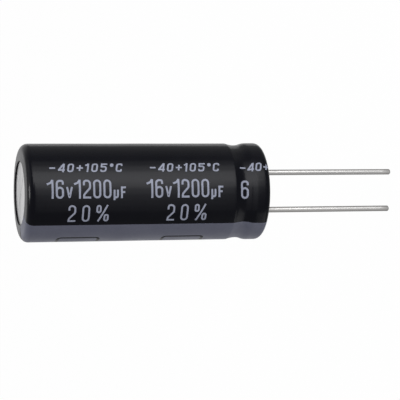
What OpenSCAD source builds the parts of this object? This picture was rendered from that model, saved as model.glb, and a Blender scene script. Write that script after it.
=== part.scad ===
// Radial electrolytic capacitor, upright on its leads.
// Millimetres. The origin is the middle of the seating plane, between the leads.
// +Z runs to the closed end of the case, and +X to the positive lead.

/* [Case] */
// Outer diameter of the aluminium case
case_d = 10; // [9:0.1:12.5]
// Height of the case from its curled rim to its closed end
case_h = 25.6; // [22:0.1:32]
// Wall of the drawn case
case_wall = 0.3; // [0.25:0.01:0.34]
// Thickness of the closed end
case_base = 0.4; // [0.35:0.01:0.6]
// Outer radius of the shoulder round the closed end
case_corner_r = 0.65; // [0.55:0.05:0.9]
// Outer radius of the curl at the open end
curl_r = 0.5; // [0.45:0.01:0.55]
// Extra radius of the case between the bead and the curl
rim_swell = 0.03; // [0.01:0.01:0.06]

/* [Bead] */
// Middle of the bead above the case's rim
bead_pos = 2.5; // [2.3:0.05:2.8]
// Depth of the bead in the case
bead_depth = 0.55; // [0.4:0.05:0.6]
// Half of the bead's width, in the case and in the sleeve over it
bead_half = 1.2; // [1.05:0.05:1.3]

/* [Vent] */
// Length of each of the four scored arms, from the middle
vent_arm = 2.9; // [1.5:0.1:3.1]
// Width of the score at the surface
vent_score_w = 0.26; // [0.15:0.01:0.4]
// Depth of the score
vent_depth = 0.18; // [0.1:0.01:0.22]
// Turn of the vent's cross about the case's axis, in degrees
vent_turn = 9; // [0:1:90]
// Radius of the shallow dish inside the shoulder
dish_r = 3.9; // [3.6:0.05:4.1]
// Depth of that dish
dish_depth = 0.06; // [0.03:0.01:0.09]

/* [Sleeve] */
// Thickness of the shrunk sleeve
sleeve_wall = 0.13; // [0.08:0.01:0.2]
// Clearance between the sleeve and the case
sleeve_clear = 0.02; // [0.02:0.005:0.04]
// Diameter of the opening that the sleeve leaves on the closed end
sleeve_mouth_d = 6.7; // [6:0.1:7.4]
// Diameter of the opening that the sleeve leaves under the rim
sleeve_foot_d = 8.4; // [8.1:0.05:8.6]
// Depth of the hollow where the sleeve bridges the bead
sleeve_bead_depth = 0.2; // [0.12:0.01:0.3]

/* [Printed band] */
// Height of the ink above the sleeve
ink_h = 0.02; // [0.015:0.005:0.03]
// Width of the negative band round the sleeve, in degrees
band_angle = 76; // [60:1:90]
// Middle of the band from the negative lead's direction, in degrees
band_turn = -25; // [-30:1:30]
// Length of one minus mark along the sleeve
mark_l = 4.6; // [3:0.1:6]
// Height of one minus mark round the sleeve
mark_w = 2.7; // [2:0.1:3.2]
// Line width of the minus mark's outline
mark_line = 0.3; // [0.2:0.05:0.5]
// Corner radius of the minus mark
mark_r = 0.55; // [0.4:0.05:0.9]
// Distance from one minus mark to the next
mark_pitch = 11.3; // [8:0.1:12]
// Middle of the upper minus mark, below the sleeve's closed end
mark_drop = 5.6; // [4:0.1:6]

/* [Seal] */
// Height of the rubber seal
seal_h = 4; // [3.9:0.05:4.8]
// Bite of the curled lip into the seal's face
lip_bite = 0.1; // [0.05:0.01:0.15]
// Clearance between the seal and the case
seal_clear = 0.02; // [0.015:0.005:0.04]
// Width of the bevel round the seal's inner face
seal_bevel = 0.35; // [0.2:0.05:0.5]
// Height of the raised pad round each lead on the seal's outer face
pad_h = 0.25; // [0.15:0.05:0.35]
// Width of that pad round the lead's hole
pad_ring = 0.75; // [0.5:0.05:0.8]

/* [Leads] */
// Distance between the middles of the two leads
lead_pitch = 5; // [4.7:0.05:5.1]
// Diameter of the lead wire
lead_d = 0.6; // [0.5:0.01:0.7]
// Diameter of the wire's upset root, where it meets the weld
root_d = 0.76; // [0.72:0.01:0.9]
// Length of the positive lead below the seating plane
lead_positive_l = 15.9; // [5:0.1:25]
// Length of the negative lead below the seating plane
lead_negative_l = 14.5; // [5:0.1:25]
// Chamfer that the cutter leaves on the wire's end
lead_chamfer = 0.1; // [0.05:0.01:0.15]
// Clearance between a lead and its hole in the seal
lead_clear = 0.02; // [0.015:0.005:0.04]
// Height of the butt weld above the seal's outer face
weld_rise = 0.9; // [0.7:0.05:1.2]
// Height of the weld's cone
weld_h = 0.3; // [0.2:0.05:0.4]

/* [Tabs] */
// Diameter of the round stem that passes through the seal
stem_d = 1.3; // [1.2:0.05:1.5]
// Height that the stem stands above the seal
stem_rise = 0.6; // [0.4:0.05:0.8]
// Width of the flattened paddle
paddle_w = 1.8; // [1.4:0.1:2]
// Thickness of the paddle
paddle_t = 0.25; // [0.2:0.01:0.3]
// Length of the paddle above the stem
paddle_l = 14; // [8:0.5:15]

/* [Winding] */
// Gap between the stems' ends and the winding
winding_gap = 0.25; // [0.15:0.05:0.4]
// Clearance between the winding and the inside of the closed end
winding_seat = 0.04; // [0.02:0.01:0.08]
// Clearance between the winding's tape and the case wall
winding_clear = 0.12; // [0.08:0.01:0.2]
// Diameter of the hollow left by the winding arbor
core_d = 2.4; // [2:0.1:2.8]
// Distance that the paper stands proud of the foils at each end
paper_margin = 0.6; // [0.3:0.05:0.9]
// Distance from one drawn turn of paper to the next
turn_pitch = 0.4; // [0.36:0.01:0.5]
// Thickness of the paper pack in one drawn turn
turn_t = 0.16; // [0.12:0.01:0.2]
// Clearance of the slot round each paddle
paddle_clear = 0.03; // [0.02:0.005:0.05]

/* [Tape] */
// Thickness of the fixing tape
tape_t = 0.07; // [0.05:0.01:0.09]
// Width of the fixing tape along the winding
tape_w = 12; // [8:0.5:14]
// Clearance under the tape
tape_clear = 0.02; // [0.015:0.005:0.03]
// Overlap of the tape's free end, in degrees
tape_lap = 70; // [40:5:120]

/* [Hidden] */
$fn = 96;

// Distance that cutting shapes run past the solids that they cut
over = 1;

// Heights, from the seating plane up
skin = sleeve_clear + sleeve_wall;
rim_z = skin;
case_top = rim_z + case_h;
sleeve_top = case_top + skin;
bead_z = rim_z + bead_pos;
base_under = case_top - case_base;
curl_z = rim_z + curl_r;
seal_face = curl_z - lip_bite;
seal_top = seal_face + seal_h;
weld_z = seal_face + weld_rise;
stem_top = seal_top + stem_rise;
winding_z = stem_top + winding_gap;
winding_top = base_under - winding_seat;
winding_mid = (winding_z + winding_top) / 2;
band_z = sleeve_top - mark_drop;

// Radii
case_r = case_d / 2;
bore_r = case_r - case_wall;
rim_r = case_r + rim_swell;
lip_inner = rim_r - 2 * curl_r;
winding_r = bore_r - winding_clear - 2 * tape_t - tape_clear;
core_r = core_d / 2;
stem_r = stem_d / 2;
lead_r = lead_d / 2;
root_r = root_d / 2;
print_r = case_r + skin;

// One half of a rolled bead, from its middle to the wall beside it. The wall and the bead meet in
// two equal arcs, one hollow and one full, so the surface runs through without an edge.
// wall_r is the wall's radius before it is grown, and the section is drawn with z = 0 at the middle.
module bead_half_cut(wall_r, depth, half, grow) {
    arc_r = (half * half + depth * depth) / (4 * depth);
    turn_x = wall_r - arc_r + (arc_r + grow) * (2 * arc_r - depth) / (2 * arc_r);
    union() {
        difference() {
            translate([turn_x, 0]) square([wall_r + grow + over - turn_x, half]);
            translate([wall_r - arc_r, half]) circle(arc_r + grow);
        }
        intersection() {
            translate([wall_r - depth + arc_r, 0]) circle(arc_r - grow);
            square([turn_x, half]);
        }
    }
}

// The case's section, filled from the axis out, and grown all round by one distance.
// A negative distance gives the inside of the wall, and a positive one a skin over it.
module filled_section(grow, depth, half) {
    difference() {
        union() {
            translate([0, bead_z]) square([case_r + grow, case_top - case_corner_r - bead_z]);
            translate([0, curl_z]) square([rim_r + grow, bead_z - curl_z]);
            translate([0, case_top - case_corner_r - over])
                square([case_r - case_corner_r, case_corner_r + over + grow]);
            intersection() {
                translate([case_r - case_corner_r, case_top - case_corner_r])
                    circle(case_corner_r + grow);
                translate([0, case_top - case_corner_r]) square([case_d, case_d]);
            }
            translate([0, curl_z - curl_r - grow])
                square([rim_r - curl_r, curl_r + grow + over]);
            intersection() {
                translate([rim_r - curl_r, curl_z]) circle(curl_r + grow);
                translate([0, curl_z - case_d]) square([case_d, case_d]);
            }
        }
        translate([0, bead_z]) bead_half_cut(case_r, depth, half, grow);
        translate([0, bead_z]) mirror([0, 1])
            bead_half_cut(rim_r, depth + rim_swell, half, grow);
    }
}

// The score of the safety vent: a V-shaped cross in the closed end
module vent_score() {
    for (turn = [0, 90]) {
        rotate([0, 0, vent_turn + turn]) rotate([90, 0, 0])
            linear_extrude(height = 2 * vent_arm, center = true)
                polygon([
                    [-vent_score_w, case_top - dish_depth + vent_depth],
                    [0, case_top - dish_depth - vent_depth],
                    [vent_score_w, case_top - dish_depth + vent_depth]
                ]);
    }
}

// The drawn case: wall, shoulder, scored end, rolled bead, and the rim curled in over the seal
module case() {
    color("silver") difference() {
        rotate_extrude() difference() {
            filled_section(0, bead_depth, bead_half);
            difference() {
                filled_section(-case_wall, bead_depth, bead_half);
                translate([0, base_under]) square([case_d, case_base]);
            }
            square([rim_r - curl_r, curl_z]);
            translate([0, case_top - dish_depth]) square([dish_r, case_d]);
        }
        vent_score();
    }
    color("silver") rotate_extrude() intersection() {
        difference() {
            translate([rim_r - curl_r, curl_z]) circle(curl_r);
            translate([rim_r - curl_r, curl_z]) circle(curl_r - case_wall);
        }
        translate([lip_inner - over, 0]) square([curl_r + over, curl_z]);
    }
}

// The outline of one minus mark, flat, with its length along y
module mark_outline() {
    difference() {
        rounded_bar(mark_w, mark_l, mark_r);
        rounded_bar(mark_w - 2 * mark_line, mark_l - 2 * mark_line, mark_r - mark_line);
    }
}

module rounded_bar(width, length, corner) {
    square([width - 2 * corner, length], center = true);
    square([width, length - 2 * corner], center = true);
    for (x = [-1, 1], y = [-1, 1]) {
        translate([x * (width / 2 - corner), y * (length / 2 - corner)]) circle(corner, $fn = 32);
    }
}

// The shrunk sleeve, drawn in over the shoulder and the curl, with the printed negative band
module sleeve() {
    color("#17171a") rotate_extrude() sleeve_section(skin);
    color("#585866") difference() {
        rotate([0, 0, 180 + band_turn - band_angle / 2])
            rotate_extrude(angle = band_angle) difference() {
                sleeve_section(skin + ink_h);
                translate([0, -over]) square([case_d, curl_z + over]);
            }
        for (z = [band_z, band_z - mark_pitch]) {
            rotate([0, 0, band_turn]) translate([-print_r, 0, z]) rotate([90, 0, -90])
                linear_extrude(height = 2 * over) mark_outline();
        }
    }
}

// The sleeve's wall out to a given distance from the case
module sleeve_section(outside) {
    difference() {
        filled_section(outside, sleeve_bead_depth, bead_half);
        filled_section(sleeve_clear, sleeve_bead_depth, bead_half);
        translate([0, -over]) square([sleeve_foot_d / 2, curl_z + over]);
        translate([0, case_top - case_corner_r]) square([sleeve_mouth_d / 2, case_d]);
    }
}

// The rubber seal, nipped by the bead and held in by the curled lip
module seal() {
    color("#202022") difference() {
        union() {
            rotate_extrude() difference() {
                filled_section(-case_wall - seal_clear, bead_depth, bead_half);
                translate([0, seal_top]) square([case_d, case_h]);
                translate([0, -over]) square([lip_inner, seal_face + over]);
                difference() {
                    translate([lip_inner - seal_clear, -over])
                        square([curl_r + seal_clear, curl_z + seal_clear + over]);
                    translate([rim_r - curl_r, curl_z]) circle(curl_r - case_wall - seal_clear);
                }
                polygon([
                    [bore_r - seal_clear - seal_bevel, seal_top + seal_bevel / 2],
                    [bore_r, seal_top + seal_bevel / 2],
                    [bore_r, seal_top - seal_bevel],
                    [bore_r - seal_clear, seal_top - seal_bevel]
                ]);
            }
            for (x = [-1, 1]) {
                translate([x * lead_pitch / 2, 0, seal_face - pad_h])
                    cylinder(r = lead_r + lead_clear + pad_ring, h = pad_h + over / 2);
            }
        }
        for (x = [-1, 1]) {
            translate([x * lead_pitch / 2, 0, 0]) {
                cylinder(r1 = lead_r + lead_clear, r2 = root_r + lead_clear, h = weld_z - weld_h);
                translate([0, 0, weld_z - weld_h - lead_clear])
                    cylinder(r = stem_r + lead_clear, h = case_h);
            }
        }
    }
}

// One lead wire, cut off below and welded to its tab above. From the seating plane up it widens
// into the root that the butt weld leaves.
module lead(x, length) {
    color("#c9cacd") translate([x, 0, 0]) {
        translate([0, 0, -length])
            cylinder(r1 = lead_r - lead_chamfer, r2 = lead_r, h = lead_chamfer);
        translate([0, 0, lead_chamfer - length])
            cylinder(r = lead_r, h = length - lead_chamfer);
        cylinder(r1 = lead_r, r2 = root_r, h = weld_z - weld_h);
        translate([0, 0, weld_z - weld_h])
            cylinder(r1 = root_r, r2 = stem_r - lead_clear, h = weld_h);
    }
}

module lead_positive() {
    lead(lead_pitch / 2, lead_positive_l);
}

module lead_negative() {
    lead(-lead_pitch / 2, lead_negative_l);
}

// One aluminium tab: a round stem through the seal, pressed flat into a paddle above it
module tab(x) {
    color("#d5d6d8") translate([x, 0, 0]) {
        translate([0, 0, weld_z]) cylinder(r = stem_r, h = stem_top - paddle_t - weld_z);
        translate([0, 0, stem_top - paddle_t])
            cylinder(r1 = stem_r, r2 = stem_r - paddle_t, h = paddle_t);
        translate([-paddle_t / 2, -paddle_w / 2, stem_top - paddle_t])
            cube([paddle_t, paddle_w, paddle_t + paddle_l]);
    }
}

module tab_positive() {
    tab(lead_pitch / 2);
}

module tab_negative() {
    tab(-lead_pitch / 2);
}

// A flat spiral strip: the edge of the paper, one turn outside another
module paper_spiral() {
    step = 15;
    start_r = core_r + turn_t;
    turns = (winding_r - turn_t - start_r) / turn_pitch;
    steps = floor(turns * 360 / step);
    outer = [for (i = [0:steps]) let (r = start_r + turn_t / 2 + turn_pitch * i * step / 360)
        [r * cos(i * step), r * sin(i * step)]];
    inner = [for (i = [steps:-1:0]) let (r = start_r - turn_t / 2 + turn_pitch * i * step / 360)
        [r * cos(i * step), r * sin(i * step)]];
    polygon(concat(outer, inner));
}

// The wound foils and papers: one body, with the paper standing proud of the foils at both ends
module winding() {
    color("#d8cdb4") difference() {
        union() {
            translate([0, 0, winding_z + paper_margin])
                cylinder(r = winding_r, h = winding_top - winding_z - 2 * paper_margin);
            translate([0, 0, winding_z])
                linear_extrude(height = winding_top - winding_z) paper_spiral();
        }
        translate([0, 0, winding_z - over]) cylinder(r = core_r, h = case_h);
        for (x = [-1, 1]) {
            translate([x * lead_pitch / 2 - paddle_t / 2 - paddle_clear, -paddle_w / 2 - paddle_clear,
                    winding_z - over])
                cube([paddle_t + 2 * paddle_clear, paddle_w + 2 * paddle_clear,
                    over + stem_top + paddle_l + paddle_clear - winding_z]);
        }
    }
}

// The tape that keeps the winding shut, with its free end lapped over the start
module fixing_tape() {
    inner_r = winding_r + tape_clear;
    color("#e3d9a8") translate([0, 0, winding_mid - tape_w / 2]) {
        difference() {
            cylinder(r = inner_r + tape_t, h = tape_w);
            translate([0, 0, -over]) cylinder(r = inner_r, h = tape_w + 2 * over);
        }
        rotate_extrude(angle = tape_lap) translate([inner_r + tape_t / 2, 0])
            square([1.5 * tape_t, tape_w]);
    }
}

sleeve();
case();
seal();
lead_positive();
lead_negative();
tab_positive();
tab_negative();
winding();
fixing_tape();
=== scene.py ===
"""A radial electrolytic capacitor, dressed around its packed frame.

Sizes in the dataclasses are in millimetres and degrees, and become metres where a mesh is made.
"""

import logging
import math
from dataclasses import dataclass, field
from enum import Enum

import bpy
import numpy as np
from bpy.types import Material, Mesh, Node, NodeSocket, NodeTree, Object, World
from mathutils import Matrix, Vector
from mathutils.geometry import delaunay_2d_cdt


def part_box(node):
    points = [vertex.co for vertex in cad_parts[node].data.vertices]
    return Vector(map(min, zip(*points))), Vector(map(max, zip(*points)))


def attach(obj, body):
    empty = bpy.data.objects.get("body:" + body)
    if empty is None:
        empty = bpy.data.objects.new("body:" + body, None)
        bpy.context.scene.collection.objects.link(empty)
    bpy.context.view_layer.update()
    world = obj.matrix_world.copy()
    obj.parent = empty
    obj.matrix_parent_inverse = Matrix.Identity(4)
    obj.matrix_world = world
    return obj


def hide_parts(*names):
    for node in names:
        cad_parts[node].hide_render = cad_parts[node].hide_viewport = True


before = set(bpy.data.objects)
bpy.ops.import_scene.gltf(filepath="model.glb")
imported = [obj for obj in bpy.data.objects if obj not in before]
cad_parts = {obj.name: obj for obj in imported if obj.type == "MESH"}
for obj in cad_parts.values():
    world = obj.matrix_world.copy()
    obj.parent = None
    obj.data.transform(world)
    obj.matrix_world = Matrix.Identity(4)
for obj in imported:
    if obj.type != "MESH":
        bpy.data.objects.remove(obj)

MM = 0.001
LOG = logging.getLogger("capacitor")
FACE_ANGLE = 233.9
ARC_STEPS = 6
SPECK_SCALE = 1500.0
MITRE_LIMIT = 0.4
SAME_POINT = 1e-5
NO_LENGTH = 1e-12
SQUARE = ((-1, -1), (1, -1), (1, 1), (-1, 1))

Array = np.ndarray
Colour = tuple[float, float, float]
Pair = tuple[float, float]
Path = list[Pair]


class Slot(Enum):
    """Names of two of the record's material slots. Nothing in this script uses them."""

    FILM = "sleeve_film"
    WIRE = "tinned_wire"


class Texture(Enum):
    """How a finish's fine grain is stretched along x, y and z."""

    EVEN = (1.0, 1.0, 1.0)
    ROLLED = (0.05, 1.0, 1.0)
    DRAWN = (1.0, 1.0, 0.03)
    WOUND = (0.25, 0.25, 3.0)


# Shader nodes


class NodeBench:
    """A node tree under construction."""

    def __init__(self, tree: NodeTree) -> None:
        """Empties the tree that the nodes go into."""
        self.tree = tree
        tree.nodes.clear()

    @classmethod
    def of(cls, owner: Material | World) -> "NodeBench":
        """Starts a material's or a world's own tree."""
        owner.use_nodes = True
        return cls(owner.node_tree)

    def add(self, kind: str, inputs: dict[str | int, object] | None = None,
            **settings: object) -> Node:
        """Adds one node.

        Args:
            kind: the node's type, without the ShaderNode prefix.
            inputs: what goes into its inputs, by name or place: an output to link, or a constant.
            settings: attributes to set on it.

        Returns:
            The new node.
        """
        node = self.tree.nodes.new("ShaderNode" + kind)
        for name, value in settings.items():
            setattr(node, name, value)
        for place, value in (inputs or {}).items():
            if isinstance(value, NodeSocket):
                self.wire(value, node.inputs[place])
            else:
                node.inputs[place].default_value = value
        return node

    def wire(self, out: NodeSocket, into: NodeSocket) -> None:
        """Links an output to an input."""
        self.tree.links.new(out, into)

    def math(self, operation: str, first: object, second: object = 0.0) -> NodeSocket:
        """Adds a Math node between two outputs or numbers, and gives its output."""
        return self.add("Math", {0: first, 1: second}, operation=operation).outputs[0]

    def span(self, value: NodeSocket, low: float, high: float,
             from_low: float = 0.0, from_high: float = 1.0) -> NodeSocket:
        """Maps the range from_low to from_high onto low to high, clamped."""
        return self.add("MapRange", {"Value": value, "From Min": from_low, "From Max": from_high,
                                     "To Min": low, "To Max": high}).outputs["Result"]

    def blend(self, share: NodeSocket, first: object, second: object) -> NodeSocket:
        """Mixes two colours.

        Args:
            share: how much of the second colour shows.
            first: a colour or a socket.
            second: a colour or a socket.

        Returns:
            The mixed colour.
        """
        first, second = (colour if isinstance(colour, NodeSocket) else (*colour, 1.0)
                         for colour in (first, second))
        return self.add("Mix", {0: share, 6: first, 7: second}, data_type="RGBA").outputs[2]


class SharedEffects:
    """The node groups that several finishes use."""

    def __init__(self) -> None:
        """Builds both groups."""
        self.grain = self._grain()
        self.dust = self._dust()

    @staticmethod
    def _group(name: str, inputs: dict[str, str],
               outputs: list[str]) -> tuple[NodeBench, dict, dict]:
        """Starts a node group.

        Args:
            name: the group's name.
            inputs: socket names and their types.
            outputs: names of the value outputs.

        Returns:
            The bench, the inputs by name, and the outputs by name.
        """
        tree = bpy.data.node_groups.new(name, "ShaderNodeTree")
        for label, kind in inputs.items():
            tree.interface.new_socket(label, in_out="INPUT", socket_type="NodeSocket" + kind)
        for label in outputs:
            tree.interface.new_socket(label, in_out="OUTPUT", socket_type="NodeSocketFloat")
        bench = NodeBench(tree)
        given, result = (tree.nodes.new("NodeGroup" + side) for side in ("Input", "Output"))
        return bench, given.outputs, result.inputs

    def _grain(self) -> NodeTree:
        """Makes fine grain that can be stretched, and the broad change in tone under it.

        Returns:
            The group.
        """
        bench, given, result = self._group(
            "surface_grain",
            {"Place": "Vector", "Stretch": "Vector", "Turn": "Float", "Fine Scale": "Float",
             "Broad Scale": "Float"},
            ["Fine", "Broad"])
        turned = bench.add("VectorRotate", {"Vector": given["Place"], "Angle": given["Turn"]},
                           rotation_type="Z_AXIS")
        drawn = bench.add("VectorMath", {0: turned.outputs[0], 1: given["Stretch"]},
                          operation="MULTIPLY")
        for label, detail in (("Fine", 5.0), ("Broad", 2.0)):
            noise = bench.add("TexNoise", {"Vector": drawn.outputs[0], "Detail": detail,
                                           "Scale": given[label + " Scale"]})
            bench.wire(bench.span(noise.outputs["Fac"], 0.0, 1.0, 0.25, 0.75), result[label])
        return bench.tree

    def _dust(self) -> NodeTree:
        """Makes specks of dust, thicker on faces that look up.

        Returns:
            The group.
        """
        bench, given, result = self._group(
            "dust_specks", {"Place": "Vector", "Speck Scale": "Float", "Cover": "Float"}, ["Mask"])
        cells = bench.add("TexVoronoi", {"Vector": given["Place"], "Scale": given["Speck Scale"]},
                          feature="F1")
        speck = bench.span(cells.outputs["Distance"], 1.0, 0.0, 0.05, 0.12)
        patch = bench.add("TexNoise", {"Vector": given["Place"], "Scale": 260.0})
        bare = bench.math("SUBTRACT", 1.0, given["Cover"])
        shown = bench.math("GREATER_THAN", patch.outputs["Fac"], bare)
        split = bench.add("SeparateXYZ", {0: bench.add("NewGeometry").outputs["Normal"]})
        upward = bench.span(split.outputs["Z"], 0.35, 1.0, -0.2, 1.0)
        mask = bench.math("MULTIPLY", bench.math("MULTIPLY", speck, shown), upward)
        bench.wire(mask, result["Mask"])
        return bench.tree


@dataclass(frozen=True)
class Finish:
    """One procedural finish. Scales are in cycles per metre, the relief in metres.

    Spans run from 0 head-on to 1 along the face, tilts from 0 on a wall to 1 on a flat end. The
    edge tone is
    painted reflection or painted shade: a colour blended in where the face turns away from the
    view. With grazing_rough set, the walls alone have that painted edge tone, and they lose their
    gloss.
    """

    name: str
    colour: Colour
    shade: Colour
    rough: Pair
    texture: Texture = Texture.EVEN
    fine_scale: float = 4000.0
    broad_scale: float = 300.0
    relief: float = 4e-6
    turn: float = 0.0
    metallic: float = 0.0
    specular: float = 0.5
    edge_tint: Colour = (1.0, 1.0, 1.0)
    edge_shade: Colour | None = None
    edge_span: Pair = (0.15, 0.6)
    edge_tilt: Pair = (0.1, 0.5)
    grazing_rough: float = 0.0
    grazing_span: Pair = (0.55, 0.9)
    gloss_span: Pair = (0.4, 0.8)
    gloss_tilt: Pair = (0.1, 0.6)
    dust_colour: Colour = (0.35, 0.34, 0.32)
    dust_cover: float = 0.0

    def build(self, effects: SharedEffects) -> Material:
        """Makes the material.

        Args:
            effects: the shared node groups.

        Returns:
            The material.
        """
        material = bpy.data.materials.new(self.name)
        bench = NodeBench.of(material)
        place = bench.add("TexCoord").outputs
        grain = bench.add(
            "Group", {"Place": place["Object"], "Stretch": self.texture.value,
                      "Turn": math.radians(self.turn), "Fine Scale": self.fine_scale,
                      "Broad Scale": self.broad_scale}, node_tree=effects.grain).outputs
        tone = bench.math("MULTIPLY", bench.math("ADD", grain["Fine"], grain["Broad"]), 0.5)
        colour = bench.blend(tone, self.colour, self.shade)
        rough = bench.span(grain["Broad"], *self.rough)
        gloss = self.specular
        if self.dust_cover:
            dust = bench.add("Group", {"Place": place["Object"], "Speck Scale": SPECK_SCALE,
                                       "Cover": self.dust_cover}, node_tree=effects.dust).outputs
            colour = bench.blend(dust["Mask"], colour, self.dust_colour)
            rough = bench.math("MAXIMUM", rough, dust["Mask"])
        # Painted reflection and painted shade: the edge tone is blended into the colour where the
        # face turns from the view.
        if self.edge_shade:
            facing = bench.add("LayerWeight").outputs["Facing"]
            edge = bench.span(facing, 0.0, 1.0, *self.edge_span)
            if self.grazing_rough:
                dull = bench.span(facing, 0.0, self.grazing_rough, *self.grazing_span)
                rough = bench.math("MAXIMUM", rough, dull)
                upright = bench.add("SeparateXYZ", {0: place["Normal"]}).outputs["Z"]
                tilt = bench.math("ABSOLUTE", upright)
                edge = bench.math("MULTIPLY", edge, bench.span(tilt, 1.0, 0.0, *self.edge_tilt))
                ends = bench.span(tilt, 0.0, self.specular, *self.gloss_tilt)
                walls = bench.span(facing, self.specular, 0.0, *self.gloss_span)
                gloss = bench.math("MAXIMUM", ends, walls)
            colour = bench.blend(edge, colour, self.edge_shade)
        bump = bench.add("Bump", {"Strength": 1.0, "Distance": self.relief,
                                  "Height": grain["Fine"]})
        surface = bench.add("BsdfPrincipled", {
            "Base Color": colour, "Roughness": rough, "Metallic": self.metallic,
            "Specular IOR Level": gloss, "Specular Tint": (*self.edge_tint, 1.0),
            "Normal": bump.outputs["Normal"]})
        bench.add("OutputMaterial", {"Surface": surface.outputs[0]})
        return material


@dataclass(frozen=True)
class Finishes:
    """Every finish of the part."""

    # The film's edge tone is a painted reflection: a pale grey on its grazing walls, where its
    # gloss fades out.
    film: Finish = Finish(
        "black_shrink_film", (0.0013, 0.0016, 0.0038), (0.0028, 0.003, 0.0054), (0.17, 0.23),
        fine_scale=1500.0, broad_scale=220.0, relief=1.0e-6, specular=0.05,
        edge_shade=(0.34, 0.34, 0.345), edge_span=(0.66, 0.94), grazing_rough=0.28,
        dust_cover=0.12)
    # The band's lilac is the ink's own. Its darkness against the print ink is partly painted shade
    # of the side turned from the light.
    band_ink: Finish = Finish(
        "lilac_ink_and_painted_shade", (0.125, 0.13, 0.175), (0.1, 0.105, 0.145), (0.36, 0.46),
        fine_scale=5200.0, broad_scale=420.0, relief=1.6e-6, specular=0.1)
    print_ink: Finish = Finish(
        "pale_lilac_ink", (0.31, 0.33, 0.415), (0.26, 0.275, 0.345), (0.4, 0.5), fine_scale=6000.0,
        broad_scale=900.0, relief=1.6e-6, specular=0.03)
    case: Finish = Finish(
        "rolled_aluminium", (0.66, 0.66, 0.665), (0.24, 0.24, 0.245), (0.3, 0.42),
        texture=Texture.ROLLED, fine_scale=5000.0, broad_scale=650.0, relief=2.5e-6, turn=36.1,
        metallic=1.0)
    # The wire's edge tone is painted shade: darker towards its grazing edges, in place of a darker
    # reflection.
    wire: Finish = Finish(
        "tinned_copper_steel", (0.35, 0.345, 0.34), (0.31, 0.305, 0.3), (0.28, 0.3),
        texture=Texture.DRAWN, fine_scale=6000.0, broad_scale=1600.0, relief=1e-8, metallic=1.0,
        edge_tint=(0.5, 0.5, 0.5), edge_shade=(0.17, 0.165, 0.16))
    rubber: Finish = Finish(
        "moulded_seal_rubber", (0.012, 0.012, 0.013), (0.022, 0.022, 0.022), (0.55, 0.75),
        fine_scale=7000.0, broad_scale=700.0, relief=5e-6, specular=0.35, dust_cover=0.4)
    tab: Finish = Finish(
        "pressed_tab_aluminium", (0.62, 0.62, 0.63), (0.46, 0.46, 0.47), (0.3, 0.45),
        texture=Texture.DRAWN, fine_scale=9000.0, broad_scale=1200.0, relief=3e-6, metallic=1.0)
    paper: Finish = Finish(
        "soaked_separator_paper", (0.52, 0.43, 0.27), (0.38, 0.30, 0.17), (0.45, 0.7),
        texture=Texture.WOUND, fine_scale=5000.0, broad_scale=900.0, relief=9e-6, specular=0.4)
    tape: Finish = Finish(
        "fixing_tape", (0.66, 0.57, 0.30), (0.56, 0.47, 0.22), (0.28, 0.4), fine_scale=3500.0,
        broad_scale=600.0, relief=3e-6)


def make_materials() -> dict[str, Material]:
    """Makes the material of each finish, under the finish's name in the table."""
    effects = SharedEffects()
    return {name: finish.build(effects) for name, finish in vars(Finishes()).items()}


# Meshes


def add_object(name: str, mesh: Mesh, material: Material) -> Object:
    """Puts a mesh into the scene.

    Args:
        name: the object's name.
        mesh: its mesh.
        material: its only material.

    Returns:
        The object.
    """
    mesh.materials.append(material)
    piece = bpy.data.objects.new(name, mesh)
    bpy.context.scene.collection.objects.link(piece)
    return piece


def add_piece(name: str, mesh: Mesh, material: Material,
              node: str = "") -> Object:
    """Adds a piece that moves with the part.

    Args:
        name: the piece's name.
        mesh: its mesh.
        material: its only material.
        node: the packed node that it replaces, if any.

    Returns:
        The piece.
    """
    piece = add_object(name, mesh, material)
    if node:
        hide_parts(node)
    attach(piece, "root")
    LOG.info("%s built", name)
    return piece


def ring_pairs(count: int) -> list[tuple[int, int]]:
    """Pairs each place in a ring with the next one."""
    return [(place, (place + 1) % count) for place in range(count)]


def turned_mesh(name: str, rows: Array, looped: bool) -> Mesh:
    """Makes a closed skin over rows of points that go round the axis.

    Args:
        name: the mesh's name.
        rows: points in metres, by row, column and coordinate.
        looped: whether the last row joins the first. Otherwise both ends get a middle point.

    Returns:
        The mesh, smooth, with its edges left to the caller.
    """
    count, around = rows.shape[:2]
    points = rows.reshape(-1, 3)
    faces = []
    for row, below in ring_pairs(count)[:None if looped else -1]:
        here, under = row * around, below * around
        faces += [(here + a, under + a, under + b, here + b) for a, b in ring_pairs(around)]
    if not looped:
        points = np.vstack([points, rows[0].mean(0), rows[-1].mean(0)])
        last = (count - 1) * around
        for a, b in ring_pairs(around):
            faces += [(len(points) - 2, a, b), (len(points) - 1, last + b, last + a)]
    mesh = bpy.data.meshes.new(name)
    mesh.from_pydata(points.tolist(), [], faces)
    mesh.polygons.foreach_set("use_smooth", [True] * len(faces))
    return mesh


def inside(points: Array, outline: Array) -> Array:
    """Tells which flat points lie inside a closed outline.

    Args:
        points: the points.
        outline: the outline's corners, in order.

    Returns:
        True for each point inside.
    """
    ends = np.roll(outline, -1, axis=0)
    x, y = points[:, :1], points[:, 1:]
    rise = ends[:, 1] - outline[:, 1]
    crossed = (outline[:, 1] > y) != (ends[:, 1] > y)
    run = ends[:, 0] - outline[:, 0]
    at = outline[:, 0] + (y - outline[:, 1]) * run / np.where(rise == 0, 1, rise)
    return (crossed & (x < at)).sum(1) % 2 == 1


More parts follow.
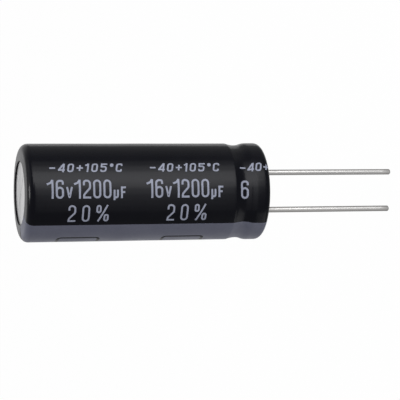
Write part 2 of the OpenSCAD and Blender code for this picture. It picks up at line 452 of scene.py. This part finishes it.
@dataclass(frozen=True)
class Stroke:
    """A line of constant width, drawn in the flat."""

    path: Path
    width: float
    closed: bool = False

    def outlines(self) -> list[Array]:
        """Gives the stroke's edge.

        Returns:
            One outline when the stroke is open, an outer and an inner one when it is closed.
        """
        points = np.array(self.path)
        following = np.roll(points, -1, axis=0) - points
        if not self.closed:
            following[-1] = following[-2]
        following /= np.linalg.norm(following, axis=1)[:, None]
        before = np.roll(following, 1, axis=0)
        if not self.closed:
            before[0] = following[0]
        side = following + before
        side /= np.maximum(np.linalg.norm(side, axis=1)[:, None], NO_LENGTH)
        side /= np.maximum((side * following).sum(1)[:, None], MITRE_LIMIT)
        side = np.stack([-side[:, 1], side[:, 0]], axis=1) * self.width / 2
        if self.closed:
            return [points + side, points - side]
        return [np.vstack([points + side, (points - side)[::-1]])]

    def covers(self, points: Array) -> Array:
        """Tells which flat points the stroke covers.

        Args:
            points: the points.

        Returns:
            True for each point covered.
        """
        covered = np.zeros(len(points), bool)
        for outline in self.outlines():
            covered ^= inside(points, outline)
        return covered


def rounded_path(corners: Path, radius: float, closed: bool) -> Path:
    """Rounds a path's corners.

    Args:
        corners: the path's corners.
        radius: radius at each corner, less where a side is short.
        closed: whether the path runs back to its start.

    Returns:
        The path with its arcs.
    """
    points = [Vector(corner) for corner in corners]
    path = []
    for place, corner in enumerate(points):
        if not closed and place in (0, len(points) - 1):
            path.append(tuple(corner))
            continue
        back = points[place - 1] - corner
        ahead = points[(place + 1) % len(points)] - corner
        half = back.angle(ahead) / 2
        reach = min(radius / math.tan(half), back.length * 0.5, ahead.length * 0.5)
        size = reach * math.tan(half)
        between = (back.normalized() + ahead.normalized()).normalized()
        middle = corner + between * (size / math.sin(half))
        first = corner + back.normalized() * reach - middle
        turn = first.angle_signed(corner + ahead.normalized() * reach - middle)
        for step in range(ARC_STEPS + 1):
            arm = first.copy()
            arm.rotate(Matrix.Rotation(-turn * step / ARC_STEPS, 2))
            path.append(tuple(middle + arm))
    return [point for place, point in enumerate(path)
            if math.dist(point, path[place - 1]) > SAME_POINT or (place == 0 and not closed)]


def finely(outline: Array, step: float) -> Array:
    """Cuts an outline's long sides, so that it can bend.

    Args:
        outline: the corners.
        step: the longest side that is left.

    Returns:
        The outline with more points.
    """
    points = []
    for start, end in zip(outline, np.roll(outline, -1, axis=0)):
        count = max(1, math.ceil(float(np.linalg.norm(end - start)) / step))
        points.extend(start + (end - start) * part / count for part in range(count))
    return np.array(points)


@dataclass(frozen=True)
class Line:
    """A line of condensed rounded letters, from a distance along the film and a baseline angle."""

    name: str
    text: str
    start: float
    baseline: float
    height: float
    length: float
    weight: float = 0.13
    width: float = 0.43
    slant: float = 0.0
    bend: float = 0.19
    small_weight: float = 0.1

    def _letter(self, letter: str) -> tuple[float, list[Stroke]]:
        """Draws one letter, a unit high.

        Args:
            letter: the letter.

        Returns:
            Its width, and its strokes.
        """
        small_size = {"v": 0.36, "u": 0.28, "F": 0.27}
        weight = self.small_weight if letter in small_size else self.weight
        wide = small_size.get(letter, self.width)
        edge = weight / 2
        left, right, low, high = edge, wide - edge, edge, 1 - edge
        middle = wide / 2

        def line(*corners: Pair, bend: float = self.bend, closed: bool = False) -> Stroke:
            """Makes one stroke through these corners."""
            path = rounded_path(list(corners), bend, closed) if len(corners) > 2 else list(corners)
            return Stroke(path, weight, closed)

        def ring(x0: float, y0: float, x1: float, y1: float, bend: float = self.bend) -> Stroke:
            """Makes a closed stroke with rounded corners."""
            return line((x0, y0), (x1, y0), (x1, y1), (x0, y1), bend=bend, closed=True)

        nw, ne, sw, se = (left, high), (right, high), (left, low), (right, low)
        sharp, small, bar, slim = 0.015, 0.62, 0.47, 0.31
        stem = slim - edge
        drawn = {
            "0": [ring(left, low, right, high)],
            "1": [line((stem, 0), (stem, 1)),
                  line((stem - 0.3, 0.76), (stem - 0.1, 0.84), (stem, 0.99), bend=0.1)],
            "2": [line((left, 0.70), nw, ne, (right, 0.56), (left, 0.2), (left, 0)),
                  line((0, low), (wide, low))],
            "4": [line((right - 0.03, 0), (right - 0.03, 1)), line((0, 0.25), (wide + 0.04, 0.25)),
                  line((right - 0.05, 0.97), (left - 0.01, 0.25))],
            "5": [line((left, 0.28), sw, se, (right, 0.61), (left, 0.61)),
                  line((left, 0.53), (left, 1)), line((0, high), (wide, high))],
            "6": [ring(left, low, right, 0.58, bend=0.18),
                  line((left, 0.3), nw, ne, (right, 0.74))],
            "v": [line((edge, small), (middle, 0.03), (wide - edge, small), bend=sharp)],
            "u": [line((left, -0.1), (left, 0.45)),
                  line((left, 0.3), sw, se, (right, 0.45), bend=0.1)],
            "F": [line((left, 0), (left, small)), line((0, small - edge), (wide, small - edge)),
                  line((0, 0.32), (wide - 0.04, 0.32))],
            "C": [line((right, 0.70), ne, nw, sw, se, (right, 0.3))],
            "o": [ring(left, 0.66, left + 0.2, high, bend=0.1)],
            "+": [line((0, bar), (wide, bar)),
                  line((middle, bar - middle), (middle, bar + middle))],
            "-": [line((0.03, bar), (wide - 0.03, bar))],
            "%": [ring(left, 0.58, left + 0.19, high, bend=0.09),
                  ring(0.48, low, 0.67, 0.42, bend=0.09), line((left + 0.08, 0), (0.62, 1))],
        }[letter]
        return {"1": slim, "o": 0.2 + weight, "%": 0.67 + edge}.get(letter, wide), drawn

    def strokes(self) -> list[Stroke]:
        """Lays the letters out.

        Returns:
            The strokes, with x along the film and y round it, in millimetres.
        """
        drawn = [self._letter(letter) for letter in self.text]
        bare = sum(wide for wide, _ in drawn) * self.height
        gap = (self.length - bare) / max(1, len(drawn) - 1)
        strokes = []
        at = 0.0
        for wide, shapes in drawn:
            for shape in shapes:
                path = [(at + (x + self.slant * y) * self.height, y * self.height)
                        for x, y in shape.path]
                strokes.append(Stroke(path, shape.width * self.height, shape.closed))
            at += wide * self.height + gap
        return strokes


@dataclass(frozen=True)
class Drawing:
    """Strokes of ink less what is cut from them, in millimetres from a place on the film.

    The origin is a distance along the film and an angle in degrees, and the pitch is the spacing
    of the points inside the ink.
    """

    name: str
    origin: Pair
    pitch: Pair
    strokes: list[Stroke]
    cuts: list[Stroke] = field(default_factory=list)

    def covers(self, points: Array) -> Array:
        """Tells which flat points carry ink.

        Args:
            points: the points.

        Returns:
            True for each point with ink.
        """
        covered = np.zeros(len(points), bool)
        for stroke in self.strokes:
            covered |= stroke.covers(points)
        for stroke in self.cuts:
            covered &= ~stroke.covers(points)
        return covered


# The sleeve


@dataclass(frozen=True)
class FilmOutline:
    """The outer line of the shrunk film, from its mouth over the shoulder to its foot."""

    case_r: float = 5.0
    rim_r: float = 5.03
    skin: float = 0.15
    mouth_r: float = 3.35
    foot_r: float = 4.2
    lip_z: float = 25.87
    shoulder_z: float = 24.99
    shoulder_r: float = 0.8
    curl_r: float = 0.42
    bead_z: float = 2.65
    bead_half: float = 1.2
    bead_depth: float = 0.2
    bead_bend: float = 0.55
    fine_step: float = 0.01
    line_pitch: float = 0.22
    arc_pitch: float = 0.09

    def runs(self) -> list[tuple]:
        """Lists the outline's lines and arcs.

        Returns:
            For a line, its two ends. For an arc, its middle, radius and two angles in degrees.
        """
        barrel = self.case_r + self.skin
        rim = self.rim_r + self.skin
        shoulder = (barrel - self.shoulder_r, self.shoulder_z)
        fall = math.atan2(self.lip_z - self.shoulder_z - self.shoulder_r,
                          shoulder[0] - self.mouth_r)
        edge = (shoulder[0] + self.shoulder_r * math.sin(fall),
                shoulder[1] + self.shoulder_r * math.cos(fall))
        hollow = barrel - self.bead_depth
        upper, upper_turn = self._bead(self.bead_depth, self.bead_bend)
        lower, lower_turn = self._bead(rim - hollow, 0.0)
        high, low = self.bead_z + self.bead_half, self.bead_z - self.bead_half
        curl = (self.rim_r - self.curl_r, self.skin + self.curl_r)
        return [
            ((self.mouth_r, self.lip_z), edge),
            (shoulder, self.shoulder_r, 90 - math.degrees(fall), 0),
            ((barrel, shoulder[1]), (barrel, high)),
            ((barrel - upper[0], high), upper[0], 0, -upper_turn),
            ((hollow + upper[1], self.bead_z), upper[1], 180 - upper_turn, 180),
            ((hollow + lower[1], self.bead_z), lower[1], 180, 180 + lower_turn),
            ((rim - lower[0], low), lower[0], lower_turn, 0),
            ((rim, low), (rim, curl[1])),
            (curl, self.curl_r + self.skin, 0, -90),
            ((curl[0], 0.0), (self.foot_r, 0.0)),
        ]

    def _bead(self, depth: float, bend: float) -> tuple[Pair, float]:
        """Fits two tangent arcs to one side of the bead.

        Args:
            depth: how far the film drops.
            bend: radius of the full arc beside the wall, or 0 for two equal arcs.

        Returns:
            The radii of the full and the hollow arc, and the angle of both in degrees.
        """
        both = (self.bead_half ** 2 + depth ** 2) / (2 * depth)
        full = bend or both / 2
        return (full, both - full), math.degrees(math.asin(self.bead_half / both))

    @staticmethod
    def _length(run: tuple) -> float:
        """Measures one line or arc."""
        return math.dist(*run) if len(run) == 2 else abs(math.radians(run[3] - run[2])) * run[1]

    def table(self) -> Array:
        """Measures the outline out in small steps.

        Returns:
            Rows of distance, radius, height, and the outward direction's two parts.
        """
        rows = []
        gone = 0.0
        for run in self.runs():
            length = self._length(run)
            for part in np.linspace(0, 1, max(2, int(length / self.fine_step))):
                if len(run) == 2:
                    start, end = (np.array(point) for point in run)
                    along_r, along_z = (end - start) / length
                    point = start + (end - start) * part
                    rows.append((gone + length * part, *point, -along_z, along_r))
                else:
                    (middle_r, middle_z), radius, first, last = run
                    angle = math.radians(first + (last - first) * part)
                    cos, sin = math.cos(angle), math.sin(angle)
                    out = 1 if last < first else -1
                    rows.append((gone + length * part, middle_r + radius * cos,
                                 middle_z + radius * sin, out * cos, out * sin))
            gone += length
        return np.array(rows)

    def stations(self) -> Array:
        """Picks the distances at which the film gets a ring of points.

        Returns:
            The distances from the mouth, in order.
        """
        marks = [0.0]
        for run in self.runs():
            length = self._length(run)
            pitch = self.line_pitch if len(run) == 2 else self.arc_pitch
            count = max(1, math.ceil(length / pitch))
            marks += [marks[-1] + length * (part + 1) / count for part in range(count)]
        return np.unique(np.round(marks, 6))


@dataclass
class Sleeve:
    """The printed shrink film, with its negative band and its lines of print.

    The film is as thick as walls at the distances wall_at from its mouth. The band's bare corner
    ends at an angle and a distance. The pleat has an angle, half a width in degrees and a height,
    and it and the gather have a distance and a spread along the film.
    """

    outline: FilmOutline = field(default_factory=FilmOutline)
    wall: float = 0.128
    wall_at: tuple[float, ...] = (0.0, 0.5, 1.0, 1.7, 2.6)
    walls: tuple[float, ...] = (0.11, 0.07, 0.035, 0.05, 0.128)
    calm_below: float = -0.03
    inset: float = 0.012
    closed_end: float = 25.9
    around: int = 256
    edge_rings: int = 9
    slack: float = 0.0032
    pucker: float = 0.014
    pucker_spread: float = 1.1
    gather: float = 0.006
    gather_along: Pair = (1.3, 0.7)
    pleat: tuple[float, float, float] = (145.0, 3.0, 0.035)
    pleat_along: Pair = (0.8, 0.8)
    probe: Pair = (0.03, 0.006)
    ink_rise: float = 0.006
    ink_sink: float = 0.006
    band_start: float = 0.1
    band_edges: Pair = (117.0, 193.0)
    band_pitch: Pair = (0.11, 0.28)
    bare_corner: Pair = (148.0, 1.7)
    past_corner: Pair = (0.3, 0.2)
    mark_at: Pair = (5.83, 17.0)
    mark_size: Pair = (4.6, 2.7)
    mark_line: float = 0.3
    mark_r: float = 0.55
    print_pitch: Pair = (0.12, 0.3)

    def __post_init__(self) -> None:
        """Measures the outline once."""
        self.rows = self.outline.table()
        self.total = float(self.rows[-1, 0])
        self.barrel_r = self.outline.case_r + self.outline.skin

    def at_height(self, height: float) -> float:
        """Gives the distance along the film of a height on the barrel."""
        return float(np.interp(-height, -self.rows[:, 2], self.rows[:, 0]))

    def ripple(self, along: Array, turn: Array) -> Array:
        """Gives the film's slight unevenness.

        Args:
            along: distances along the film.
            turn: angles round it, in radians.

        Returns:
            How far the face stands out from its mean.
        """
        waves = np.sin(3 * turn + 0.31 * along + 0.4) * np.sin(0.37 * along + 1.1)
        waves += 0.6 * np.sin(7 * turn - 0.23 * along) * np.sin(0.9 * along + 2 * turn)
        bead = self.at_height(self.outline.bead_z)
        near_bead = np.exp(-((along - bead) / self.pucker_spread) ** 2)
        folds = np.sin(13 * turn + 1.7 * np.sin(2 * turn)) * np.sin(5 * turn + 0.7)
        place, spread = self.gather_along
        near_shoulder = np.exp(-((along - place) / spread) ** 2)
        tucks = np.sin(17 * turn + 2.1 * np.sin(3 * turn)) * np.sin(4 * turn + 2.0)
        middle, wide, high = self.pleat
        place, spread = self.pleat_along
        away = np.degrees(np.angle(np.exp(1j * (turn - math.radians(middle) + 0.03 * along))))
        ridge = np.exp(-(away / wide) ** 2 - ((along - place) / spread) ** 2)
        rise = self.slack * waves + self.pucker * near_bead * folds
        return rise - self.gather * near_shoulder * np.abs(tucks) + high * ridge

    def surface(self, along: Array, turn: Array, lift: float | Array) -> Array:
        """Gives points on or near the film's outer face.

        Args:
            along: distances along the film.
            turn: angles round it, in radians.
            lift: distance outward from the face.

        Returns:
            Points in metres.
        """
        radius, height, out_r, out_z = (np.interp(along, self.rows[:, 0], self.rows[:, column])
                                        for column in range(1, 5))
        off = lift - self.inset + self.ripple(along, turn)
        radius = radius + out_r * off
        height = height + out_z * off
        return np.stack([radius * np.cos(turn), radius * np.sin(turn), height], axis=-1) * MM

    def normals(self, along: Array, turn: Array) -> Array:
        """Gives the film's outward directions at such points.

        Args:
            along: distances along the film.
            turn: angles round it, in radians.

        Returns:
            Unit directions.
        """
        step, swing = self.probe
        down = self.surface(along + step, turn, 0.0) - self.surface(along - step, turn, 0.0)
        beside = self.surface(along, turn + swing, 0.0) - self.surface(along, turn - swing, 0.0)
        out = np.cross(down, beside)
        return out / np.linalg.norm(out, axis=-1)[..., None]

    def film(self, material: Material) -> Object:
        """Builds the film: its outer face, its rounded cut edges and its inner face.

        Args:
            material: the film's material.

        Returns:
            The piece.
        """
        turns = np.linspace(0, 2 * math.pi, self.around, endpoint=False)
        outer = self.outline.stations()
        edge, lip = self.wall / 2, self.walls[0] / 2
        outer = outer[(outer > lip) & (outer < self.total - edge)]
        rings = [(distance, 0.0) for distance in outer]
        bow = np.radians(np.linspace(0, 180, self.edge_rings))
        rings += [(self.total - edge + edge * math.sin(a), edge * math.cos(a) - edge) for a in bow]
        rings += [(distance, -float(np.interp(distance, self.wall_at, self.walls)))
                  for distance in outer[::-2]]
        rings += [(lip - lip * math.sin(a), -lip * math.cos(a) - lip) for a in bow]
        along, lift = (np.tile(column[:, None], self.around) for column in np.array(rings).T)
        calm = np.where(lift < self.calm_below, self.ripple(along, turns), 0.0)
        mesh = turned_mesh("shrink_film", self.surface(along, turns, lift - calm), looped=True)
        return add_piece("shrink_film", mesh, material, "sleeve")

    def ink(self, drawing: Drawing, material: Material) -> Object:
        """Lays a closed coat of ink on the film.

        Args:
            drawing: the shape of the ink.
            material: the ink.

        Returns:
            The piece.
        """
        outlines = [finely(edge, drawing.pitch[0] * 1.5)
                    for stroke in drawing.strokes + drawing.cuts for edge in stroke.outlines()]
        corners = np.vstack(outlines)
        ranges = (np.arange(*span) for span in zip(corners.min(0), corners.max(0), drawing.pitch))
        grid = np.stack(np.meshgrid(*ranges), axis=-1).reshape(-1, 2)
        grid = grid[drawing.covers(grid)]
        sides = []
        for outline in outlines:
            first = len(sides)
            sides += [(first + a, first + b) for a, b in ring_pairs(len(outline))]
        flat = [Vector(point) for point in np.vstack([corners, grid]).tolist()]
        points, _, faces, *_ = delaunay_2d_cdt(flat, sides, [], 0, SAME_POINT)
        points = np.array([tuple(point) for point in points])
        faces = np.array([tuple(face) for face in faces])
        faces = faces[drawing.covers(points[faces].mean(1))]
        used, faces = np.unique(faces, return_inverse=True)
        return self._coat(drawing, points[used], faces.reshape(-1, 3), material)

    def _coat(self, drawing: Drawing, points: Array, faces: Array, material: Material) -> Object:
        """Bends flat triangles round the film and closes them into a thin coat.

        Args:
            drawing: the shape of the ink.
            points: the triangles' corners.
            faces: three places in points for each triangle.
            material: the ink.

        Returns:
            The piece.
        """
        side = points[faces]
        area = np.cross(side[:, 1] - side[:, 0], side[:, 2] - side[:, 0])
        faces[area < 0] = faces[area < 0][:, ::-1]
        along = drawing.origin[0] + points[:, 0]
        turn = math.radians(drawing.origin[1]) + points[:, 1] / self.barrel_r
        above = self.surface(along, turn, self.ink_rise)
        below = self.surface(along, turn, -self.ink_sink)
        out = self.normals(along, turn)
        count = len(points)
        edges = {edge for a, b, c in faces.tolist() for edge in ((a, b), (b, c), (c, a))}
        rim = [(a, b) for a, b in sorted(edges) if (b, a) not in edges]
        polygons = faces.tolist() + (faces[:, ::-1] + count).tolist()
        polygons += [(a + count, b + count, b, a) for a, b in rim]
        directions = [*out[faces.reshape(-1)], *-out[faces[:, ::-1].reshape(-1)]]
        for a, b in rim:
            wall = np.cross(above[b] - above[a], out[a])
            directions += [wall / max(np.linalg.norm(wall), NO_LENGTH)] * 4
        mesh = bpy.data.meshes.new(drawing.name)
        mesh.from_pydata(np.vstack([above, below]).tolist(), [], polygons)
        mesh.polygons.foreach_set("use_smooth", [True] * len(polygons))
        mesh.normals_split_custom_set([tuple(d) for d in directions])
        return add_piece(drawing.name, mesh, material)

    def band(self, material: Material) -> Object:
        """Builds the negative band, with its minus marks and one corner left bare.

        Args:
            material: the band's ink, its darkness partly painted shade.

        Returns:
            The piece.
        """
        first, last = self.band_edges
        width = math.radians(last - first) * self.barrel_r
        length = self.total - 2 * self.band_start
        bar = Stroke([(0.0, width / 2), (length, width / 2)], width)
        half_x, half_y = ((size - self.mark_line) / 2 for size in self.mark_size)
        cuts = []
        for drop in self.mark_at:
            middle = self.at_height(self.closed_end - drop) - self.band_start
            corners = [(middle + half_x * x, width / 2 + half_y * y) for x, y in SQUARE]
            path = rounded_path(corners, self.mark_r - self.mark_line / 2, True)
            cuts.append(Stroke(path, self.mark_line, True))
        angle, reach = self.bare_corner
        before, beside = self.past_corner
        corner = math.radians(angle - first) * self.barrel_r + beside
        level = corner / 2 - beside
        cuts.append(Stroke([(-before, level), (reach, level)], corner))
        return self.ink(Drawing("negative_band", (self.band_start, first), self.band_pitch, [bar],
                                cuts), material)

    def print_lines(self) -> list[Line]:
        """Lists the lines of print, in two columns and the start of a third.

        Returns:
            The lines.
        """
        upper = dict(baseline=FACE_ANGLE + 23.7, height=1.0, weight=0.17, width=0.66, slant=0.22)
        rating = dict(text="16v1200uF", baseline=FACE_ANGLE - 7.1, height=1.94, length=8.1,
                      weight=0.106)
        lower = dict(text="20%", baseline=FACE_ANGLE - 35.7, height=1.88, length=4.25, weight=0.1)
        return [
            Line("print_range_1", "-40+105oC", self.at_height(23.6), length=7.6, **upper),
            Line("print_rating_1", start=self.at_height(23.76), **rating),
            Line("print_tolerance_1", start=self.at_height(21.6), **lower),
            Line("print_range_2", "-40+105oC", self.at_height(13.1), length=7.45, **upper),
            Line("print_rating_2", start=self.at_height(13.38), **rating),
            Line("print_tolerance_2", start=self.at_height(11.2), **lower),
            Line("print_range_3", "-40+1", self.at_height(3.35), length=3.75, **upper),
            Line("print_digit", "6", self.at_height(3.3), FACE_ANGLE - 9.6, 2.0, length=0.9,
                 weight=0.105),
        ]

    def build(self, materials: dict[str, Material]) -> list[Object]:
        """Builds the film, the band and the print.

        Args:
            materials: every material of the part.

        Returns:
            The pieces.
        """
        pieces = [self.film(materials["film"]), self.band(materials["band_ink"])]
        for line in self.print_lines():
            drawing = Drawing(line.name, (line.start, line.baseline), self.print_pitch,
                              line.strokes())
            pieces.append(self.ink(drawing, materials["print_ink"]))
        return pieces


# The wires, and the pieces that keep their packed shape


@dataclass
class Leads:
    """The two tinned wires, each from its cut end to its weld."""

    pitch: float = 5.0
    radius: float = 0.3
    root_r: float = 0.38
    stem_r: float = 0.63
    root_top: float = 1.15
    weld_top: float = 1.45
    chamfer: float = 0.1
    near_tip: Pair = (1.0, 5.0)
    near_seat: float = -4.0
    sharp: float = 32.0
    around: int = 64

    def profile(self, tip: float) -> Path:
        """Lists radius and height from the cut end up to the weld.

        Args:
            tip: height of the cut end.

        Returns:
            The corners of half the wire's section.
        """
        smear = self.chamfer / 4
        heights = (tip + self.chamfer + smear, *(tip + rise for rise in self.near_tip),
                   self.near_seat, 0.0)
        return [
            (self.radius - self.chamfer, tip), (self.radius - smear, tip + self.chamfer - smear),
            *((self.radius, height) for height in heights),
            (self.root_r, self.root_top), (self.stem_r, self.weld_top),
        ]

    def build(self, materials: dict[str, Material]) -> list[Object]:
        """Builds both wires in place of the packed ones.

        Args:
            materials: every material of the part.

        Returns:
            Both wires.
        """
        wires = []
        turns = np.linspace(0, 2 * math.pi, self.around, endpoint=False)
        for node, side in (("lead_positive", 1), ("lead_negative", -1)):
            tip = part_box(node)[0].z / MM
            rows = [[(side * self.pitch / 2 + r * math.cos(a), r * math.sin(a), z) for a in turns]
                    for r, z in reversed(self.profile(tip))]
            mesh = turned_mesh(node + "_wire", np.array(rows) * MM, looped=False)
            mesh.set_sharp_from_angle(angle=math.radians(self.sharp))
            wires.append(add_piece(node + "_wire", mesh, materials["wire"], node))
        return wires


@dataclass
class PackedPieces:
    """The pieces whose packed shape stays, each with its finish."""

    case: str = "case"
    seal: str = "rubber"
    tab_positive: str = "tab"
    tab_negative: str = "tab"
    winding: str = "paper"
    fixing_tape: str = "tape"

    def build(self, materials: dict[str, Material]) -> None:
        """Dresses each packed piece.

        Args:
            materials: every material of the part.
        """
        for node, finish in vars(self).items():
            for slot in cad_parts[node].material_slots:
                slot.material = materials[finish]
            LOG.info("%s dressed in %s", node, finish)


# The studio


@dataclass(frozen=True)
class Panel:
    """A softbox at a turn from the camera's side, facing the height aim on the part's axis.

    Its radiance is how bright its face is, where white is 1.
    """

    name: str
    turn: float
    distance: float
    height: float
    aim: float
    size: Pair
    radiance: float

    def build(self) -> Object:
        """Hangs the softbox.

        Returns:
            The lamp.
        """
        lamp = bpy.data.lights.new(self.name, "AREA")
        lamp.shape = "RECTANGLE"
        lamp.size, lamp.size_y = self.size[0] * MM, self.size[1] * MM
        lamp.energy = self.radiance * 4 * lamp.size * lamp.size_y
        panel = bpy.data.objects.new(self.name, lamp)
        side = math.radians(FACE_ANGLE + self.turn)
        place = Vector((math.cos(side), math.sin(side), 0)) * self.distance
        place.z = self.height
        panel.location = place * MM
        facing = Vector((0, 0, self.aim)) - place
        panel.rotation_euler = facing.to_track_quat("-Z", "Y").to_euler()
        panel.visible_camera = False
        bpy.context.scene.collection.objects.link(panel)
        return panel


@dataclass
class Studio:
    """A white room, softboxes, and the camera.

    The softboxes light everything, and the glints are panels that only a gloss shows. Each strip
    has a turn from the camera's side, a share of strip_glint, and the heights of its two ends.
    """

    floor_z: float = -15.95
    floor_half: float = 1500.0
    floor_tone: float = 0.86
    white_share: float = 0.98
    sky: float = 0.5
    softboxes: tuple[Panel, ...] = (
        Panel("tall_softbox", 29.0, 50.0, 15.55, 15.55, (30.0, 62.0), 1.6),
        Panel("top_softbox", 81.1, 84.852814, 260.0, 10.0, (220.0, 220.0), 1.2),
    )
    strips: tuple[tuple[float, float, float, float], ...] = (
        (67, 0.16, -14.3, 47), (54, 0.5, -14.3, 47), (41, 0.88, -14.3, 47), (28, 0.97, -13.5, 44),
        (15, 0.77, -12.5, 24), (2, 0.44, -11.5, 21), (-11, 0.23, -11, 20), (-24, 0.15, -11, 20),
        (-37, 0.08, -11, 20))
    strip_glint: float = 8.8
    strip_width: float = 11.4
    strip_distance: float = 50.0
    film_glints: tuple[Panel, ...] = (
        Panel("top_glint", 0.0, 7.0, 100.0, 26.0, (22.0, 22.0), 27.0),
        Panel("floor_glint", -68.0, 25.0, -15.45, 3.0, (20.0, 20.0), 2.3),
    )
    wire_glint: Panel = Panel("wire_glint", 33.0, 500.0, 145.0, -8.0, (330.0, 300.0), 62.0)
    camera_elevation: float = 15.21
    camera_roll: float = -90.59
    camera_distance: float = 175.45
    camera_aim: tuple[float, float, float] = (-0.733, 0.535, 6.413)
    camera_lens: float = 147.6
    camera_sensor: float = 36.0
    camera_clip: Pair = (0.01, 20.0)
    glints: dict[str, list[Object]] = field(default_factory=dict)

    @staticmethod
    def _seen_white(bench: NodeBench) -> NodeSocket:
        """Picks out the rays that see the background itself or its mirror image.

        Args:
            bench: the material's or the world's tree.

        Returns:
            1 for such a ray, and 0 for one that only lights.
        """
        path = bench.add("LightPath").outputs
        seen = bench.math("ADD", path["Is Camera Ray"], path["Is Glossy Ray"])
        return bench.math("MINIMUM", bench.math("ADD", seen, path["Is Transmission Ray"]), 1.0)

    def world(self) -> None:
        """Makes the world: white where it is seen, softer where it lights."""
        world = bpy.data.worlds.new("white_room")
        bench = NodeBench.of(world)
        strength = bench.span(self._seen_white(bench), self.sky, 1.0)
        background = bench.add("Background", {"Color": (1.0, 1.0, 1.0, 1.0), "Strength": strength})
        bench.add("OutputWorld", {"Surface": background.outputs[0]})
        bpy.context.scene.world = world

    def floor(self) -> None:
        """Makes the floor under the wires' ends: white, with a shadow, and clear from below."""
        material = bpy.data.materials.new("white_floor")
        bench = NodeBench.of(material)
        matt = bench.add("BsdfDiffuse", {"Color": (*[self.floor_tone] * 3, 1.0)})
        white = bench.math("MULTIPLY", self._seen_white(bench), self.white_share)
        glow = bench.add("Emission").outputs[0]
        above = bench.add("MixShader", {0: white, 1: matt.outputs[0], 2: glow})
        below = bench.add("NewGeometry").outputs["Backfacing"]
        clear = bench.add("BsdfTransparent").outputs[0]
        both = bench.add("MixShader", {0: below, 1: above.outputs[0], 2: clear})
        bench.add("OutputMaterial", {"Surface": both.outputs[0]})
        half, height = self.floor_half * MM, self.floor_z * MM
        mesh = bpy.data.meshes.new("floor")
        mesh.from_pydata([(half * x, half * y, height) for x, y in SQUARE], [], [(0, 1, 2, 3)])
        add_object("floor", mesh, material)

    def lights(self) -> None:
        """Hangs the softboxes, and the glints of the film and of the wires."""
        for softbox in self.softboxes:
            softbox.build()
        strips = [Panel(f"glint_strip_{place}", turn, self.strip_distance, (foot + top) / 2,
                        (foot + top) / 2, (self.strip_width, top - foot), self.strip_glint * share)
                  for place, (turn, share, foot, top) in enumerate(self.strips)]
        self.glints["film"] = [panel.build() for panel in (*strips, *self.film_glints)]
        self.glints["wires"] = [self.wire_glint.build()]

    def shine_on(self, group: str, pieces: list[Object]) -> None:
        """Lets one group of glints fall on these pieces only.

        Args:
            group: the glints' group.
            pieces: what they fall on.
        """
        lit = bpy.data.collections.new("lit_" + group)
        for piece in pieces:
            lit.objects.link(piece)
        for glint in self.glints[group]:
            glint.visible_diffuse = False
            glint.light_linking.receiver_collection = lit

    def camera(self) -> None:
        """Places the camera at the photograph's angle."""
        side, rise = math.radians(FACE_ANGLE), math.radians(self.camera_elevation)
        flat = math.cos(rise)
        back = Vector((math.cos(side) * flat, math.sin(side) * flat, math.sin(rise)))
        lens = bpy.data.cameras.new("camera")
        lens.lens = self.camera_lens
        lens.sensor_width = self.camera_sensor
        lens.clip_start, lens.clip_end = self.camera_clip
        camera = bpy.data.objects.new("camera", lens)
        turn = back.to_track_quat("Z", "Y").to_matrix() @ Matrix.Rotation(
            math.radians(self.camera_roll), 3, "Z")
        place = Vector(self.camera_aim) + back * self.camera_distance
        camera.matrix_world = Matrix.Translation(place * MM) @ turn.to_4x4()
        bpy.context.scene.collection.objects.link(camera)
        bpy.context.scene.camera = camera

    def build(self) -> None:
        """Sets up the whole studio."""
        bpy.context.scene.view_settings.view_transform = "Standard"
        self.world()
        self.floor()
        self.lights()
        self.camera()
        LOG.info("studio set up")


def main() -> None:
    """Builds the studio and the part."""
    logging.basicConfig(level=logging.INFO, format="%(name)s: %(message)s")
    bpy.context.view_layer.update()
    studio = Studio()
    studio.build()
    materials = make_materials()
    PackedPieces().build(materials)
    studio.shine_on("film", Sleeve().build(materials))
    studio.shine_on("wires", Leads().build(materials))


if __name__ == "__main__":
    main()
